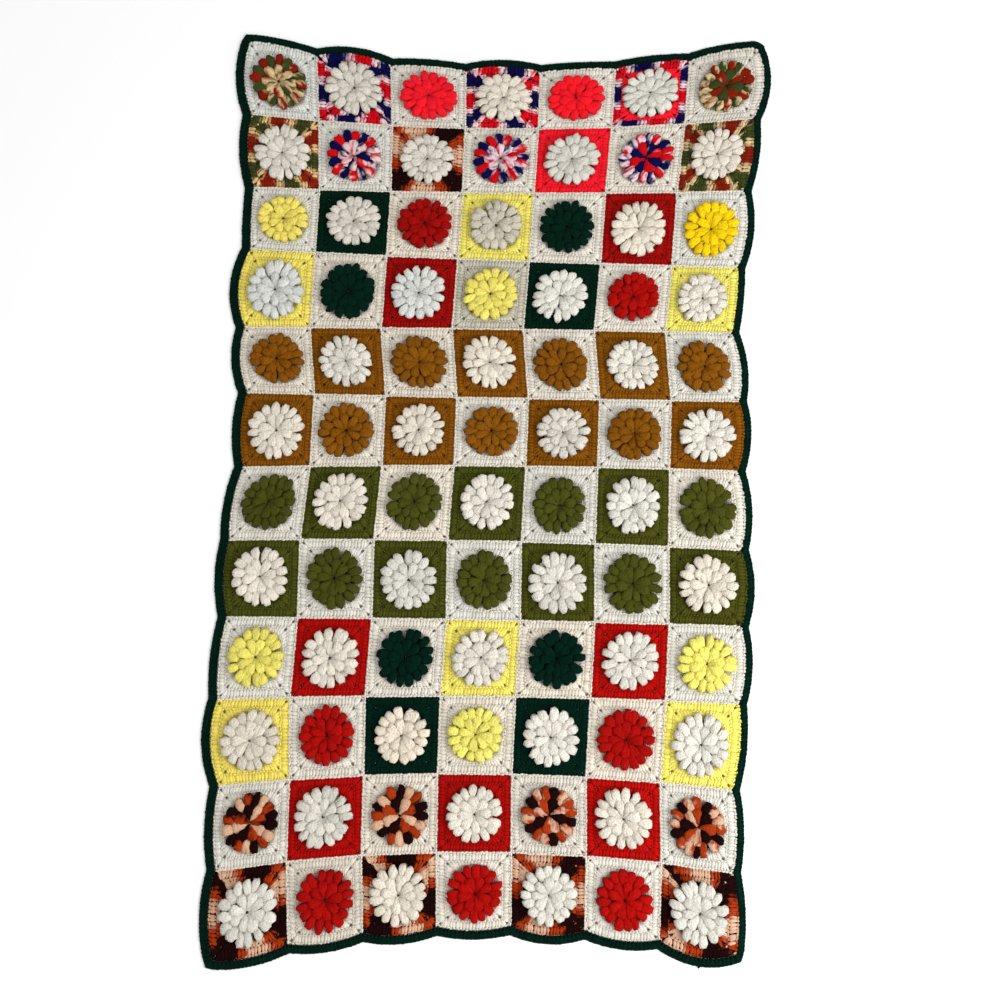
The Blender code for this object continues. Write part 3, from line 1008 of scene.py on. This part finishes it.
def edging_pile(shape, feet, heads, rise=0.0):
    """Copies of a stitch of the edging, from places on the blanket in mm."""
    spots = drawn_between(shape, feet, heads, wide=0.1, tall=0.1, lean=0.2)
    spots[..., 2] += rise
    colours = linear(EDGING_COLOUR) * uneven(len(feet), UNEVEN_GREEN)[:, None]
    return Pile(shape, spots * MM, np.repeat(colours[:, None], len(shape.points), axis=1))


post_feet, post_heads = edge_spots + edge_ways * EDGING_FOOT, edge_spots + edge_ways * EDGING_HEAD
teeth = np.interp(edge_ways.sum(axis=1), (-1, 1), TOOTH_REACH)[:, None]
rim_line = edge_spots + edge_ways * RIM
rim_run = (np.roll(rim_line, -1, axis=0) - rim_line) * RIM_BACK
last = np.hypot(*(rim_line - END_PLACE).T).argmin()
# The stub is two links side by side, the second a little shorter
stub_feet = rim_line[last] + rim_run[last] * ((-0.5,), (0.5,)) - edge_ways[last] * END_FOOT
stub_heads = rim_line[last] + edge_ways[last] * END_LENGTH * ((1,), (0.9,))
edging_piles = [
    edging_pile(EDGING_POST, post_feet, post_heads, EDGING_RISE),
    edging_pile(LINK, edge_spots - edge_ways * teeth, edge_spots + edge_ways * TOOTH_HEAD, TOOTH_RISE),
    edging_pile(EDGING_LINK, rim_line - rim_run, rim_line + rim_run * RIM_ON),
    edging_pile(EDGING_LINK, stub_feet, stub_heads),
]
edging_stitches = make_piece("edging_stitches", edging_piles, STITCH_YARN)
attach(edging, "root")
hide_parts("edging")
print("Stitches in the edging:", sum(len(pile.points) for pile in edging_piles))

# %% [markdown]
# ## Floor, light and camera
#
# The blanket lies on a plain white floor and is seen from almost straight above, from about three metres, as in
# the photograph. A large soft lamp stands to the right of it, so the right side is a little brighter and each
# bobble has a shadow on its left, and the pale surroundings fill the shadows.


# %% The floor
def plain_paint(name, hex_colour, dimple=2.5):
    """Matt white emulsion: rolled on, so it has slight dimples, so many mm across, and no gloss."""
    material = bpy.data.materials.new(name)
    material.use_nodes = True
    tree = material.node_tree
    place = add_node(tree, "TexCoord")["Object"]
    peel = add_node(tree, "TexNoise", {"Vector": place, "Scale": 1 / (dimple * MM), "Detail": 2})["Fac"]
    relief = add_node(tree, "Bump", {"Height": peel, "Strength": 0.1, "Distance": 0.1 * MM})["Normal"]
    paint = {"Base Color": (*linear(hex_colour), 1), "Roughness": 0.9, "Normal": relief}
    feed(tree, tree.nodes["Principled BSDF"], paint)
    return material


FLOOR_SIZE = 40  # m
floor = add_alone(bpy.ops.mesh.primitive_plane_add, size=FLOOR_SIZE)
floor.name = "floor"
floor.data.materials.append(plain_paint("white_emulsion", "FBFBFB"))
print("The floor is", FLOOR_SIZE, "m a side")

# %% The light
LAMP_PLACE = Vector((1.9, -0.9, 1.5))  # m
lamp_data = bpy.data.lights.new("soft_lamp", "AREA")
lamp_data.shape = "RECTANGLE"
lamp_data.size = 1.6  # m
lamp_data.size_y = 2.4
lamp_data.energy = 64  # watts
lamp = bpy.data.objects.new("soft_lamp", lamp_data)
lamp.location = LAMP_PLACE
lamp.rotation_euler = (-LAMP_PLACE).to_track_quat("-Z", "Y").to_euler()
bpy.context.scene.collection.objects.link(lamp)
world = bpy.data.worlds.new("pale_studio")
world.use_nodes = True
world.node_tree.nodes["Background"].inputs["Color"].default_value = (1, 1, 1, 1)
world.node_tree.nodes["Background"].inputs["Strength"].default_value = 0.8
bpy.context.scene.world = world
bpy.context.scene.view_settings.view_transform = "Standard"
print("The lamp gives", lamp_data.energy, "W")

# %% The camera
LOOK_AT = Vector((0.0146, -0.0195, 0.004))  # m
DISTANCE = 3.0  # m
CAMERA_TILT = math.radians(6)  # from straight down, towards the bottom edge of the blanket
camera_data = bpy.data.cameras.new("camera")
camera_data.sensor_width = 36  # mm
camera_data.lens = 60.67  # mm: the picture is 1.78 m across
camera = bpy.data.objects.new("camera", camera_data)
camera.location = LOOK_AT + Vector((0, -math.sin(CAMERA_TILT), math.cos(CAMERA_TILT))) * DISTANCE
camera.rotation_euler = (CAMERA_TILT, 0, 0)
bpy.context.scene.collection.objects.link(camera)
bpy.context.scene.camera = camera
print("The camera is at", [round(value, 3) for value in camera.location])
